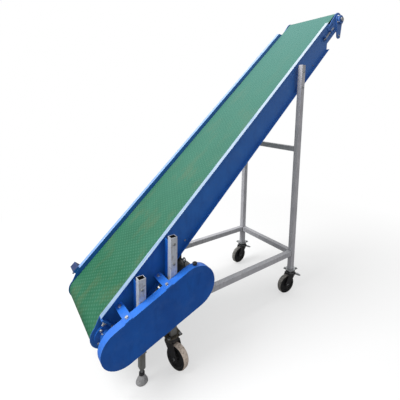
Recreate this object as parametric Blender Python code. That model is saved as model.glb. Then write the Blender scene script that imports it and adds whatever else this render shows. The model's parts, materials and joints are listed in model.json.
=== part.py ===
"""Inclined mobile belt conveyor: slider bed, two drums, motor drive behind a guard, wheeled tube frame.

Metres, +Z up. X runs along the conveyor towards its raised end, and Y across it.
The guarded drive is on the -Y side.
The last step of the script puts the origin on the floor, under the centre of the whole conveyor.
"""

import math

import bpy
from mathutils import Vector

for item in list(bpy.data.objects):
    bpy.data.objects.remove(item, do_unlink=True)

# ---- driving dimensions -------------------------------------------------------------------

FIT = 0.0003  # gap left between two pieces that touch
OVERTRAVEL = 0.005  # of a cutter beyond what it cuts
WALL = 0.0025  # wall of the square tube
TUBE = 0.038  # square tube of the frame, outside size

INCLINE = math.radians(45.0)
LIP_HEIGHT = 1.863  # height of the side frame's top face above the rear face of the rear legs
BELT_WIDTH = 0.500
BELT_THICKNESS = 0.003
BELT_DROP = 0.0255  # how far the belt's top lies below the side frame's top
DRUM_DISTANCE = 2.765  # between the two drum axes
TAIL_DRUM_U = -2.094  # tail drum's axis along the incline, from above the rear legs
DRUM_RADIUS = 0.0695  # tail drum, which is driven

SIDE_DEPTH = 0.175
SHEET = 0.003
FLANGE = 0.030
BELT_SIDE_GAP = 0.006  # between the belt's edge and the side frame
LIP_TAIL = 0.059  # each ..._TAIL and ..._HEAD here is a distance from that drum's axis
LIP_HEAD = 0.166
LOWER_FLANGE_TAIL = 0.060
LOWER_FLANGE_HEAD = 0.286
NOSE_HEAD = 0.071
NOSE_TOP = 0.045  # the nose's edges below the side frame's top
NOSE_BOTTOM = 0.140
SHAFT_HOLE_GAP = 0.004  # round the drive shaft, in the side frame

BED_SHEET = 0.002
BED_FLANGE = 0.020
BED_TAIL = 0.094
BED_HEAD = 0.131
CROSS_TUBE = 0.030
CROSS_MEMBER_TAIL = 0.344
CROSS_MEMBER_HEAD = 0.621
ROLLER_RADIUS = 0.0175
ROLLER_TAIL = 0.594
ROLLER_HEAD = 0.521
ROLLER_DEPTH = 0.1545  # roller axis below the side frame's top
SPINDLE_RADIUS = 0.006
SPINDLE_END = 0.004  # how far a spindle reaches out of the side frame

SHAFT_RADIUS = 0.0175
SHELL_WALL = 0.004
DISC_THICKNESS = 0.008
DISC_INSET = 0.012
LIGHTENING_SHARE = 0.25  # radius of a hole in a drum's end disc, as a share of the disc's width
DRUM_END_GAP = 0.0035  # between a drum's end and the side frame

BEARING_RADIUS = 0.058
BEARING_FLANGE = 0.012
BEARING_DEPTH = 0.036
BEARING_BOSS_RADIUS = 0.034
HEAD_HOUSING_RADIUS = 0.044
HEAD_TAIL_RADIUS = 0.023
HEAD_TAIL_LENGTH = 0.132
SHAFT_OVERHANG = 0.012
HEAD_PLATE_RIM = 0.0045  # of the round end of the take-up plate, beyond the belt

TAKEUP_TRAVEL = 0.040
TAKEUP_PLATE = 0.006
TAKEUP_TAIL = 0.175  # length of the take-up plate behind the head drum's axis
TAKEUP_HALF_HEIGHT = 0.036
TAKEUP_SLOT_WIDTH = 0.013
TAKEUP_SLOT_V = 0.024
TAKEUP_SLOT_BACK = 0.125  # slot's middle behind the head drum's axis
TAKEUP_LUG_HEAD = 0.269
LUG_THICKNESS = 0.008
LUG_HALF_HEIGHT = 0.020
LUG_EDGE = 0.002  # how far a take-up lug stays inside the flange's edge
TAB_HALF_HEIGHT = 0.014
SCREW_RADIUS = 0.006
SCREW_LENGTH = 0.170
SCREW_BACK = 0.020  # how far a screw reaches through its lug
TRACKING_LUG_OUT = {"near": 0.041, "far": 0.080}  # reach beyond the side frame's sheet
TRACKING_LUG_U = {"near": (-0.006, 0.002), "far": (-0.014, 0.024)}  # from the side frame's tail edge
TRACKING_LUG_V = {"near": (-0.060, -0.004), "far": (-0.045, 0.015)}

REAR_LEG_DROP = 0.029  # top of the rear legs below the side frame's top, above their rear face
LOWER_TUBE_Z = 0.316  # underside of the rails and of the lower crossbars
UPPER_TUBE_Z = 1.172
FOOT_LEG_X = -1.257
CASTER_LEG_X = -1.077
CASTER_LEG_DROP = 0.004
LEG_TOP_CUT = {"near": 0.0, "far": 0.095}  # how much lower the front legs on a side end
SPACER_DROP = {"near": 0.028, "far": 0.070}
LEG_STEP_Z = 0.177  # where the foot leg narrows
LEG_END_Z = 0.079
LOWER_LEG = 0.030
STEM_RADIUS = 0.008
SPACER_LENGTH = 0.220

WHEEL_RADIUS = 0.075
WHEEL_WIDTH = 0.036
TRAIL = 0.045
CASTER_HEADROOM = 0.045  # height of a caster above its wheel's top
PLATE_LENGTH = 0.090
PLATE_WIDTH = 0.076
PLATE_THICKNESS = 0.005
RACE_RADIUS = 0.036
RACE_DEPTH = 0.026
FORK_SHEET = 0.004
FORK_CROWN = 0.006
AXLE_RADIUS = 0.006
AXLE_END = 0.0085  # how far an axle stands out of its fork
PIN_RADIUS = 0.004
CHEEK_GAP = 0.006  # between a wheel and each cheek of its fork
PEDAL_AHEAD = 0.012  # pedal's pin ahead of the swivel axis
PEDAL_DROP = 0.051  # and below the caster's top
PEDAL_WIDTH = 0.036
CASTER_TURNS = {
    "front_near": math.radians(105.0),
    "front_far": math.radians(20.0),
    "rear_near": math.radians(-8.0),
    "rear_far": math.radians(4.0),
}

FOOT_RADIUS = 0.032

SHEAVE_WIDTH = 0.0196
GROOVE_TOP = 0.0136
GROOVE_BOTTOM = 0.0090
GROOVE_DEPTH = 0.0105
DRUM_SHEAVE_RADIUS = 0.060
MOTOR_SHEAVE_RADIUS = 0.084
SHEAVE_INSET = 0.026  # sheaves' middle inside the guard, from its open side
BELT_SINK = 0.005  # depth of the V-belt's centre line below the sheave's rim

GUARD_SHEET = 0.002
GUARD_DEPTH = 0.050
GUARD_CLEARANCE = 0.0024
GUARD_LOW_SHIFT = (0.039, 0.003)  # from the drum's axis to the middle of the guard's lower end, in x and z
GUARD_LOW_RADIUS = 0.108
GUARD_HIGH_RADIUS = 0.128  # the upper end is round the motor's axis
STRAP_X = (-1.345, -1.130)
STRAP_WIDTH = 0.040
STRAP_THICKNESS = 0.004

MOTOR_PLATE = 0.006
MOTOR_PLATE_LENGTH = 0.170
MOTOR_X = -0.964
MOTOR_AXIS_HEIGHT = 0.1084  # above the motor's own foot
GEAR_RADIUS = 0.080
GEAR_LENGTH = 0.115
GEAR_FOOT = 0.140
GEAR_SETBACK = 0.030  # gear case's face behind the guard's open side
MOTOR_RADIUS = 0.074
MOTOR_FIN = 0.010
MOTOR_FINS = 24
MOTOR_LENGTH = 0.200
COWL_LENGTH = 0.050
COWL_RIM = 0.002
EYE_RADIUS = 0.013
EYE_WIRE = 0.004
EYE_SHANK = 0.016

# ---- sizes that follow ---------------------------------------------------------------------

BELT_RADIUS = DRUM_RADIUS + FIT + BELT_THICKNESS
DRUM_V = -(BELT_DROP + BELT_RADIUS)
RETURN_V = -(ROLLER_DEPTH - ROLLER_RADIUS - FIT)  # underside of the belt's return run
HEAD_BELT_RADIUS = (-BELT_DROP - RETURN_V) / 2  # so the belt stays parallel to the take-up's slide
HEAD_DRUM_RADIUS = HEAD_BELT_RADIUS - BELT_THICKNESS - FIT
HEAD_DRUM_V = -(BELT_DROP + HEAD_BELT_RADIUS)
HEAD_DRUM_U = TAIL_DRUM_U + DRUM_DISTANCE
HEAD_PLATE_RADIUS = HEAD_BELT_RADIUS + HEAD_PLATE_RIM
ROLLER_U = (TAIL_DRUM_U + ROLLER_TAIL, HEAD_DRUM_U - ROLLER_HEAD)
CROSS_MEMBER_ENDS = (TAIL_DRUM_U + CROSS_MEMBER_TAIL, HEAD_DRUM_U - CROSS_MEMBER_HEAD)
CROSS_MEMBER_U = (CROSS_MEMBER_ENDS[0], sum(CROSS_MEMBER_ENDS) / 2, CROSS_MEMBER_ENDS[1])
LIP_TAIL_U = TAIL_DRUM_U + LIP_TAIL
LIP_HEAD_U = HEAD_DRUM_U - LIP_HEAD
LOWER_FLANGE_HEAD_U = HEAD_DRUM_U - LOWER_FLANGE_HEAD
NOSE_U = HEAD_DRUM_U - NOSE_HEAD
TAKEUP_LUG_U = HEAD_DRUM_U - TAKEUP_LUG_HEAD
TAKEUP_SLOT_LENGTH = TAKEUP_TRAVEL + 0.012
WEB_INSIDE = BELT_WIDTH / 2 + BELT_SIDE_GAP
WEB_OUTSIDE = WEB_INSIDE + SHEET
FLANGE_EDGE = WEB_INSIDE + FLANGE
TAIL_PLATE_RADIUS = SIDE_DEPTH + DRUM_V
BED_TOP = BELT_DROP + BELT_THICKNESS + FIT
DRUM_HALF = WEB_INSIDE - DRUM_END_GAP
SCREW_OFFSET = (WEB_OUTSIDE + FLANGE_EDGE) / 2 + 0.003

INNER_ROW = (FLANGE_EDGE + FIT, FLANGE_EDGE + FIT + TUBE)  # rear legs, rails and spacers, in y
OUTER_ROW = (INNER_ROW[1] + FIT, INNER_ROW[1] + FIT + TUBE)  # foot legs and front caster legs
CASTER_HEIGHT = 2 * WHEEL_RADIUS + CASTER_HEADROOM
LEG_BOTTOM = CASTER_HEIGHT + FIT
UPPER_FACE_Z = LOWER_TUBE_Z + TUBE
SHELF_Z = (UPPER_FACE_Z + FIT, UPPER_FACE_Z + FIT + MOTOR_PLATE)
MOTOR_Z = SHELF_Z[1] + FIT + MOTOR_AXIS_HEIGHT
GUARD_BACK_Y = -(OUTER_ROW[1] + GUARD_CLEARANCE)
GUARD_FACE_Y = GUARD_BACK_Y - GUARD_DEPTH
SHEAVE_Y = GUARD_BACK_Y - SHEAVE_INSET
GEAR_FACE_Y = GUARD_BACK_Y + GEAR_SETBACK
DRUM_X = TAIL_DRUM_U * math.cos(INCLINE) - DRUM_V * math.sin(INCLINE)
DRUM_Z = LIP_HEIGHT + TAIL_DRUM_U * math.sin(INCLINE) + DRUM_V * math.cos(INCLINE)
GUARD_LOW = (DRUM_X + GUARD_LOW_SHIFT[0], DRUM_Z + GUARD_LOW_SHIFT[1], GUARD_LOW_RADIUS)
GUARD_HIGH = (MOTOR_X, MOTOR_Z, GUARD_HIGH_RADIUS)


def lip_at(x):
    """Height of the side frame's top at x."""
    return LIP_HEIGHT + x * math.tan(INCLINE)



# ---- materials -----------------------------------------------------------------------------


def material(name, colour, roughness, metallic):
    made = bpy.data.materials.new(name)
    made.use_nodes = True
    shader = made.node_tree.nodes["Principled BSDF"]
    shader.inputs["Base Color"].default_value = (*colour, 1.0)
    shader.inputs["Roughness"].default_value = roughness
    shader.inputs["Metallic"].default_value = metallic
    made.diffuse_color = (*colour, 1.0)
    return made


BLUE_PAINT = material("blue_paint", (0.010, 0.055, 0.260), 0.35, 0.0)
GREEN_BELT = material("green_belt", (0.040, 0.210, 0.110), 0.70, 0.0)
STAINLESS = material("stainless_tube", (0.450, 0.450, 0.440), 0.35, 1.0)
GREY_PAINT = material("grey_paint", (0.300, 0.300, 0.310), 0.45, 0.0)
ZINC = material("zinc_steel", (0.500, 0.500, 0.480), 0.40, 1.0)
BLACK_STEEL = material("black_steel", (0.020, 0.020, 0.022), 0.45, 0.0)
WHEEL_PLASTIC = material("wheel_plastic", (0.600, 0.540, 0.440), 0.50, 0.0)
RUBBER = material("black_rubber", (0.015, 0.015, 0.015), 0.80, 0.0)
CAST_IRON = material("cast_iron", (0.100, 0.100, 0.105), 0.60, 0.3)
MOTOR_PAINT = material("motor_paint", (0.025, 0.027, 0.030), 0.50, 0.0)
BED_STEEL = material("bed_steel", (0.420, 0.430, 0.440), 0.45, 1.0)

# ---- shapes --------------------------------------------------------------------------------


def volume_of(points, faces):
    total = 0.0
    for face in faces:
        first = Vector(points[face[0]])
        for second, third in zip(face[1:], face[2:]):
            total += first.dot(Vector(points[second]).cross(Vector(points[third])))
    return total


def solid(name, shape, paint, parent=None, at=(0, 0, 0), turn=(0, 0, 0), smooth=False):
    """One object from (points, faces), with its faces turned outwards."""
    points, faces = shape
    if volume_of(points, faces) < 0:
        faces = [tuple(reversed(face)) for face in faces]
    mesh = bpy.data.meshes.new(name)
    mesh.from_pydata([tuple(point) for point in points], [], faces)
    mesh.materials.append(paint)
    if smooth:
        mesh.shade_smooth()
        mesh.set_sharp_from_angle(angle=math.radians(35))
    made = bpy.data.objects.new(name, mesh)
    bpy.context.scene.collection.objects.link(made)
    made.parent = parent
    made.location = at
    made.rotation_euler = turn
    return made


def combine(target, tool, operation):
    """Unites the target with the tool, or cuts the tool out of it. Both share one parent."""
    modifier = target.modifiers.new("shape", "BOOLEAN")
    modifier.operation = operation
    modifier.solver = "EXACT"
    modifier.object = tool
    bpy.context.view_layer.update()
    graph = bpy.context.evaluated_depsgraph_get()
    mesh = bpy.data.meshes.new_from_object(target.evaluated_get(graph))
    target.modifiers.clear()
    target.data = mesh
    bpy.data.objects.remove(tool)
    return target


def unite(target, shape):
    """Adds a shape drawn in the target's own frame."""
    paint = target.data.materials[0]
    tool = solid("tool", shape, paint, target.parent, target.location, target.rotation_euler)
    return combine(target, tool, "UNION")


def cut(target, shape):
    """Cuts away a shape drawn in the target's own frame."""
    paint = target.data.materials[0]
    tool = solid("tool", shape, paint, target.parent, target.location, target.rotation_euler)
    return combine(target, tool, "DIFFERENCE")


def drill(target, radius, low, high, axis, x=0.0, y=0.0, z=0.0, segments=12):
    """Cuts a round hole from low to high along an axis, with a little over-travel at both ends."""
    bit = cylinder(radius, low - OVERTRAVEL, high + OVERTRAVEL, segments, axis)
    return cut(target, moved(bit, x, y, z))


def box(x, y, z):
    """A box from three (low, high) pairs."""
    points = [(x[i], y[j], z[k]) for i in (0, 1) for j in (0, 1) for k in (0, 1)]
    faces = [(0, 1, 3, 2), (4, 6, 7, 5), (0, 4, 5, 1), (2, 3, 7, 6), (0, 2, 6, 4), (1, 5, 7, 3)]
    return points, faces


def prism(outline, low, high, axis="y"):
    """An outline drawn in the two other axes, extruded along one axis."""
    place = {
        "x": lambda a, b, c: (c, a, b),
        "y": lambda a, b, c: (a, c, b),
        "z": lambda a, b, c: (a, b, c),
    }[axis]
    count = len(outline)
    points = [place(a, b, low) for a, b in outline] + [place(a, b, high) for a, b in outline]
    faces = [tuple(range(count))[::-1], tuple(range(count, 2 * count))]
    for i in range(count):
        after = (i + 1) % count
        faces.append((i, after, count + after, count + i))
    return points, faces


def revolve(profile, segments=32, axis="z", phase=0.0):
    """A closed (radius, height) profile turned about an axis. Its first and last radii may be 0."""
    place = {
        "x": lambda a, b, c: (c, a, b),
        "y": lambda a, b, c: (b, c, a),
        "z": lambda a, b, c: (a, b, c),
    }[axis]
    points, rings = [], []
    for radius, height in profile:
        if radius == 0:
            rings.append([len(points)] * segments)
            points.append(place(0, 0, height))
            continue
        rings.append(list(range(len(points), len(points) + segments)))
        for step in range(segments):
            angle = phase + 2 * math.pi * step / segments
            points.append(place(radius * math.cos(angle), radius * math.sin(angle), height))
    faces = []
    for ring, following in zip(rings, rings[1:] + rings[:1]):
        for step in range(segments):
            after = (step + 1) % segments
            corners = (ring[step], ring[after], following[after], following[step])
            face = tuple(dict.fromkeys(corners))
            if len(face) > 2:
                faces.append(face)
    return points, faces


def square_revolve(profile):
    """A closed (half width, height) profile taken round a square."""
    return revolve([(half * math.sqrt(2), height) for half, height in profile], 4, "z", math.pi / 4)


def cylinder(radius, low, high, segments=24, axis="y"):
    return revolve([(0, low), (radius, low), (radius, high), (0, high)], segments, axis)


def ring(outer, inner, low, high, segments=32, axis="y"):
    return revolve([(outer, low), (outer, high), (inner, high), (inner, low)], segments, axis)


def moved(shape, x=0.0, y=0.0, z=0.0):
    return [Vector(point) + Vector((x, y, z)) for point in shape[0]], shape[1]


def square_tube(axis, low, high, side=TUBE, wall=WALL):
    """A square tube centred on its axis and open at both ends."""
    half = side / 2
    points, faces = square_revolve([(half, low), (half, high), (half - wall, high), (half - wall, low)])
    order = {"x": (2, 0, 1), "y": (1, 2, 0), "z": (0, 1, 2)}[axis]
    return [tuple(point[i] for i in order) for point in points], faces


def circle_points(x, z, radius, steps=40):
    return [
        (x + radius * math.cos(2 * math.pi * i / steps), z + radius * math.sin(2 * math.pi * i / steps))
        for i in range(steps)
    ]


def hull(points):
    """Convex outline of 2-D points, anticlockwise."""
    ordered = sorted(set((round(x, 7), round(z, 7)) for x, z in points))

    def chain(source):
        kept = []
        for point in source:
            while len(kept) > 1:
                (ax, az), (bx, bz) = kept[-2], kept[-1]
                if (bx - ax) * (point[1] - az) - (bz - az) * (point[0] - ax) > 1e-12:
                    break
                kept.pop()
            kept.append(point)
        return kept[:-1]

    return chain(ordered) + chain(reversed(ordered))


def belt_path(pulleys, arc_steps):
    """Centre line of a belt round (x, z, radius) pulleys, as (point, outward normal) pairs.
    A negative radius is a roller that presses on the belt from outside."""
    normals = []
    for (ax, az, ar), (bx, bz, br) in zip(pulleys, pulleys[1:] + pulleys[:1]):
        along = math.atan2(bz - az, bx - ax)
        normals.append(along - math.acos((ar - br) / math.hypot(bx - ax, bz - az)))
    path = []
    for i, (x, z, radius) in enumerate(pulleys):
        start, end = normals[i - 1], normals[i]
        sweep = (end - start) % (2 * math.pi)
        if radius < 0:
            sweep = (end - start + math.pi) % (2 * math.pi) - math.pi
        steps = math.ceil(abs(sweep) / math.pi * arc_steps - 1e-6)  # none where the belt only touches
        for step in range(steps + 1):
            angle = start + sweep * step / max(steps, 1)
            normal = (math.cos(angle), math.sin(angle))
            path.append(((x + radius * normal[0], z + radius * normal[1]), normal))
    return path


def swept_belt(path, section):
    """A closed loop of a (outward offset, y) section along a belt path, in the x-z plane."""
    size = len(section)
    points, faces = [], []
    for (x, z), (nx, nz) in path:
        for out, y in section:
            points.append((x + out * nx, y, z + out * nz))
    for i in range(len(path)):
        after = (i + 1) % len(path)
        for j in range(size):
            k = (j + 1) % size
            faces.append((i * size + j, after * size + j, after * size + k, i * size + k))
    return points, faces


def pan(outline_outer, outline_inner, back, inside, front):
    """A shallow pan in the x-z plane, open on its back side, between outlines of equal point counts."""
    count = len(outline_outer)
    points = [(x, back, z) for x, z in outline_outer] + [(x, front, z) for x, z in outline_outer]
    points += [(x, back, z) for x, z in outline_inner] + [(x, inside, z) for x, z in outline_inner]
    faces = [tuple(range(count, 2 * count)), tuple(range(3 * count, 4 * count))[::-1]]
    for i in range(count):
        j = (i + 1) % count
        faces.append((i, j, count + j, count + i))
        faces.append((2 * count + j, 2 * count + i, 3 * count + i, 3 * count + j))
        faces.append((j, i, 2 * count + i, 2 * count + j))
    return points, faces


def empty(name, parent=None, at=(0, 0, 0), turn=(0, 0, 0)):
    made = bpy.data.objects.new(name, None)
    bpy.context.scene.collection.objects.link(made)
    made.parent = parent
    made.location = at
    made.rotation_euler = turn
    return made


def span(side, first, last):
    """A (low, high) pair in y at these distances from the middle, on one side of the conveyor."""
    return tuple(sorted((side * first, side * last)))


SIDES = {"near": -1, "far": 1}
conveyor = empty("conveyor")
incline = empty("incline", conveyor, (0, 0, LIP_HEIGHT), (0, -INCLINE, 0))

# ---- side frames: flanged channels with a rounded tail end and a narrow nose -----------------


def web_outline():
    tail = [
        (TAIL_DRUM_U + TAIL_PLATE_RADIUS * math.cos(angle), DRUM_V + TAIL_PLATE_RADIUS * math.sin(angle))
        for angle in [math.pi * (0.5 + i / 16) for i in range(17)]
    ]
    return [
        *tail,
        (LOWER_FLANGE_HEAD_U, -SIDE_DEPTH),
        (LOWER_FLANGE_HEAD_U + SIDE_DEPTH - NOSE_BOTTOM, -NOSE_BOTTOM),
        (NOSE_U, -NOSE_BOTTOM),
        (NOSE_U, -NOSE_TOP),
        (LIP_HEAD_U + NOSE_TOP - SHEET, -NOSE_TOP),
        (LIP_HEAD_U, -SHEET),
        (LIP_HEAD_U, 0),
        (LIP_TAIL_U, 0),
    ]


for label, side in SIDES.items():
    web = span(side, WEB_INSIDE, WEB_OUTSIDE)
    rooted = WEB_INSIDE + SHEET / 3  # flanges and lugs start inside the web, so that they join it
    frame = solid(f"side_frame_{label}", prism(web_outline(), *web), BLUE_PAINT, incline)
    flange = span(side, rooted, FLANGE_EDGE)
    unite(frame, box((LIP_TAIL_U, LIP_HEAD_U), flange, (-SHEET, 0)))
    lower_flange_u = (TAIL_DRUM_U + LOWER_FLANGE_TAIL, LOWER_FLANGE_HEAD_U)
    unite(frame, box(lower_flange_u, flange, (-SIDE_DEPTH, SHEET - SIDE_DEPTH)))
    lug_u = (TAKEUP_LUG_U, TAKEUP_LUG_U + LUG_THICKNESS)
    lug_v = (HEAD_DRUM_V - LUG_HALF_HEIGHT, HEAD_DRUM_V + LUG_HALF_HEIGHT)
    unite(frame, box(lug_u, span(side, rooted, FLANGE_EDGE - LUG_EDGE), lug_v))
    drill(frame, SCREW_RADIUS + FIT, *lug_u, "x", 0, side * SCREW_OFFSET, HEAD_DRUM_V)
    tracking_u = [LIP_TAIL_U + end for end in TRACKING_LUG_U[label]]
    tracking_y = span(side, rooted, WEB_OUTSIDE + TRACKING_LUG_OUT[label])
    unite(frame, box(tracking_u, tracking_y, TRACKING_LUG_V[label]))
    drill(frame, SHAFT_RADIUS + SHAFT_HOLE_GAP, *web, "y", TAIL_DRUM_U, 0, DRUM_V, 24)
    for roller_u in ROLLER_U:
        drill(frame, SPINDLE_RADIUS + FIT, *web, "y", roller_u, 0, -ROLLER_DEPTH)

# ---- bed, cross members and belt --------------------------------------------------------------

bed_half = WEB_INSIDE - FIT
bed_section = [
    (-bed_half, -BED_TOP),
    (-bed_half, -BED_TOP - BED_FLANGE),
    (-bed_half + BED_SHEET, -BED_TOP - BED_FLANGE),
    (-bed_half + BED_SHEET, -BED_TOP - BED_SHEET),
    (bed_half - BED_SHEET, -BED_TOP - BED_SHEET),
    (bed_half - BED_SHEET, -BED_TOP - BED_FLANGE),
    (bed_half, -BED_TOP - BED_FLANGE),
    (bed_half, -BED_TOP),
]
bed = prism(bed_section, TAIL_DRUM_U + BED_TAIL, HEAD_DRUM_U - BED_HEAD, "x")
solid("slider_bed", bed, BED_STEEL, incline)

cross_half = bed_half - BED_SHEET - FIT
cross_v = -BED_TOP - BED_SHEET - FIT - CROSS_TUBE / 2
for label, member_u in zip(("low", "middle", "high"), CROSS_MEMBER_U):
    tube = square_tube("y", -cross_half, cross_half, CROSS_TUBE)
    solid(f"cross_member_{label}", tube, BLUE_PAINT, incline, (member_u, 0, cross_v))

drum_line = DRUM_RADIUS + FIT + BELT_THICKNESS / 2
head_line = HEAD_DRUM_RADIUS + FIT + BELT_THICKNESS / 2
roller_line = -(ROLLER_RADIUS + FIT + BELT_THICKNESS / 2)
belt_loop = belt_path(
    [
        (TAIL_DRUM_U, DRUM_V, drum_line),
        (ROLLER_U[0], -ROLLER_DEPTH, roller_line),
        (ROLLER_U[1], -ROLLER_DEPTH, roller_line),
        (HEAD_DRUM_U, HEAD_DRUM_V, head_line),
    ],
    20,
)
half_belt, half_width = BELT_THICKNESS / 2, BELT_WIDTH / 2
belt_section = [
    (-half_belt, -half_width),
    (half_belt, -half_width),
    (half_belt, half_width),
    (-half_belt, half_width),
]
solid("conveyor_belt", swept_belt(belt_loop, belt_section), GREEN_BELT, incline, smooth=True)

for label, roller_u in zip(("low", "high"), ROLLER_U):
    end = WEB_OUTSIDE + SPINDLE_END
    profile = [
        (0, -end),
        (SPINDLE_RADIUS, -end),
        (SPINDLE_RADIUS, -DRUM_HALF),
        (ROLLER_RADIUS, -DRUM_HALF),
        (ROLLER_RADIUS, DRUM_HALF),
        (SPINDLE_RADIUS, DRUM_HALF),
        (SPINDLE_RADIUS, end),
        (0, end),
    ]
    roller = revolve(profile, 20, "y")
    solid(f"return_roller_{label}", roller, ZINC, incline, (roller_u, 0, -ROLLER_DEPTH), smooth=True)

# ---- drums ------------------------------------------------------------------------------------


def drum(name, radius, parent, at, shaft_from, shaft_to):
    """A hollow drum on its shaft. The end discs have lightening holes, so its inside is open."""
    disc_out = DRUM_HALF - DISC_INSET
    disc_in = disc_out - DISC_THICKNESS
    bore = radius - SHELL_WALL
    circle = (bore + SHAFT_RADIUS) / 2
    made = solid(name, ring(radius, bore, -DRUM_HALF, DRUM_HALF, 40), ZINC, parent, at, smooth=True)
    for side in (-1, 1):
        low, high = span(side, disc_in, disc_out)
        disc = solid("tool", cylinder(bore + SHELL_WALL / 4, low, high, 40), ZINC, parent, at)
        for quarter in range(4):
            angle = math.pi * (0.25 + quarter / 2)
            x, z = circle * math.cos(angle), circle * math.sin(angle)
            drill(disc, LIGHTENING_SHARE * (bore - SHAFT_RADIUS), low, high, "y", x, 0, z)
        combine(made, disc, "UNION")
    unite(made, cylinder(SHAFT_RADIUS, shaft_from, shaft_to))
    return made


def sheave_profile(radius, bore_or_shaft):
    """Half of a sheave's section as a closed profile. A shaft of radius 0 gives a disc without a bore."""
    half = SHEAVE_WIDTH / 2
    return [
        (bore_or_shaft, -half),
        (radius, -half),
        (radius, -GROOVE_TOP / 2),
        (radius - GROOVE_DEPTH, -GROOVE_BOTTOM / 2),
        (radius - GROOVE_DEPTH, GROOVE_BOTTOM / 2),
        (radius, GROOVE_TOP / 2),
        (radius, half),
        (bore_or_shaft, half),
    ]


bearing_end = WEB_OUTSIDE + FIT + BEARING_DEPTH
shaft_end = SHEAVE_Y - SHEAVE_WIDTH / 2 - 0.002
drive_at = (TAIL_DRUM_U, 0, DRUM_V)
drive_drum = drum("drive_drum", DRUM_RADIUS, incline, drive_at, shaft_end, bearing_end + SHAFT_OVERHANG)
drum_sheave = revolve(sheave_profile(DRUM_SHEAVE_RADIUS, SHAFT_RADIUS + FIT), 40, "y")
solid("drum_sheave", drum_sheave, CAST_IRON, drive_drum, (0, SHEAVE_Y, 0), smooth=True)

for label, side in SIDES.items():
    face = WEB_OUTSIDE + FIT
    profile = [
        (BEARING_RADIUS, face),
        (BEARING_RADIUS, face + BEARING_FLANGE),
        (BEARING_BOSS_RADIUS, face + BEARING_FLANGE + 0.006),
        (BEARING_BOSS_RADIUS, face + BEARING_DEPTH),
        (SHAFT_RADIUS + FIT, face + BEARING_DEPTH),
        (SHAFT_RADIUS + FIT, face),
    ]
    housing = revolve([(radius, side * height) for radius, height in profile], 32, "y")
    solid(f"drive_bearing_{label}", housing, BLUE_PAINT, incline, drive_at, smooth=True)

# ---- take-up and head drum: plates, bearings and screws that slide along the incline -------------

takeup = empty("takeup", incline, (HEAD_DRUM_U, 0, HEAD_DRUM_V))
plate_in = WEB_OUTSIDE + FIT
plate_out = plate_in + TAKEUP_PLATE
housing_in = plate_out + FIT
housing_out = housing_in + BEARING_DEPTH - 0.006
head_shaft = housing_out + SHAFT_OVERHANG
drum("head_drum", HEAD_DRUM_RADIUS, takeup, (0, 0, 0), -head_shaft, head_shaft)

plate_outline = hull(
    [
        *circle_points(0, 0, HEAD_PLATE_RADIUS),
        (-TAKEUP_TAIL, -TAKEUP_HALF_HEIGHT),
        (-TAKEUP_TAIL, TAKEUP_HALF_HEIGHT),
    ]
)
teardrop = hull(
    [
        *circle_points(0, 0, HEAD_HOUSING_RADIUS, 32),
        *circle_points(0.004, -HEAD_TAIL_LENGTH, HEAD_TAIL_RADIUS, 24),
    ]
)
slot = hull(
    [
        *circle_points(-TAKEUP_SLOT_LENGTH / 2, 0, TAKEUP_SLOT_WIDTH / 2, 12),
        *circle_points(TAKEUP_SLOT_LENGTH / 2, 0, TAKEUP_SLOT_WIDTH / 2, 12),
    ]
)
for label, side in SIDES.items():
    plate_y = span(side, plate_in, plate_out)
    plate = solid(f"takeup_plate_{label}", prism(plate_outline, *plate_y), BLUE_PAINT, takeup)
    drill(plate, SHAFT_RADIUS + 2 * FIT, *plate_y, "y", segments=24)
    slot_y = span(side, plate_in - OVERTRAVEL, plate_out + OVERTRAVEL)
    for slot_v in (-TAKEUP_SLOT_V, TAKEUP_SLOT_V):
        cut(plate, moved(prism(slot, *slot_y), -TAKEUP_SLOT_BACK, 0, slot_v))
    tab_u = (-TAKEUP_TAIL, LUG_THICKNESS - TAKEUP_TAIL)
    tab_y = span(side, plate_in + TAKEUP_PLATE / 3, FLANGE_EDGE)
    unite(plate, box(tab_u, tab_y, (-TAB_HALF_HEIGHT, TAB_HALF_HEIGHT)))
    drill(plate, SCREW_RADIUS + FIT, *tab_u, "x", 0, side * SCREW_OFFSET)

    housing = prism(teardrop, *span(side, housing_in, housing_in + BEARING_FLANGE))
    along = (0, INCLINE, 0)
    bearing = solid(f"head_bearing_{label}", housing, BLUE_PAINT, takeup, (0, 0, 0), along, smooth=True)
    unite(bearing, cylinder(BEARING_BOSS_RADIUS, *span(side, housing_in + 0.002, housing_out), 32))
    drill(bearing, SHAFT_RADIUS + FIT, *span(side, housing_in, housing_out), "y", segments=24)

    screw = cylinder(SCREW_RADIUS, 0, SCREW_LENGTH, 12, "x")
    screw_at = (-TAKEUP_LUG_HEAD - SCREW_BACK, side * SCREW_OFFSET, 0)
    solid(f"takeup_screw_{label}", screw, ZINC, takeup, screw_at, smooth=True)

# ---- wheeled frame -------------------------------------------------------------------------------


def upright(name, x, row, side, low, high, paint):
    y = side * (row[0] + row[1]) / 2
    return solid(name, square_tube("z", low, high), paint, conveyor, (x, y, 0))


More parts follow.
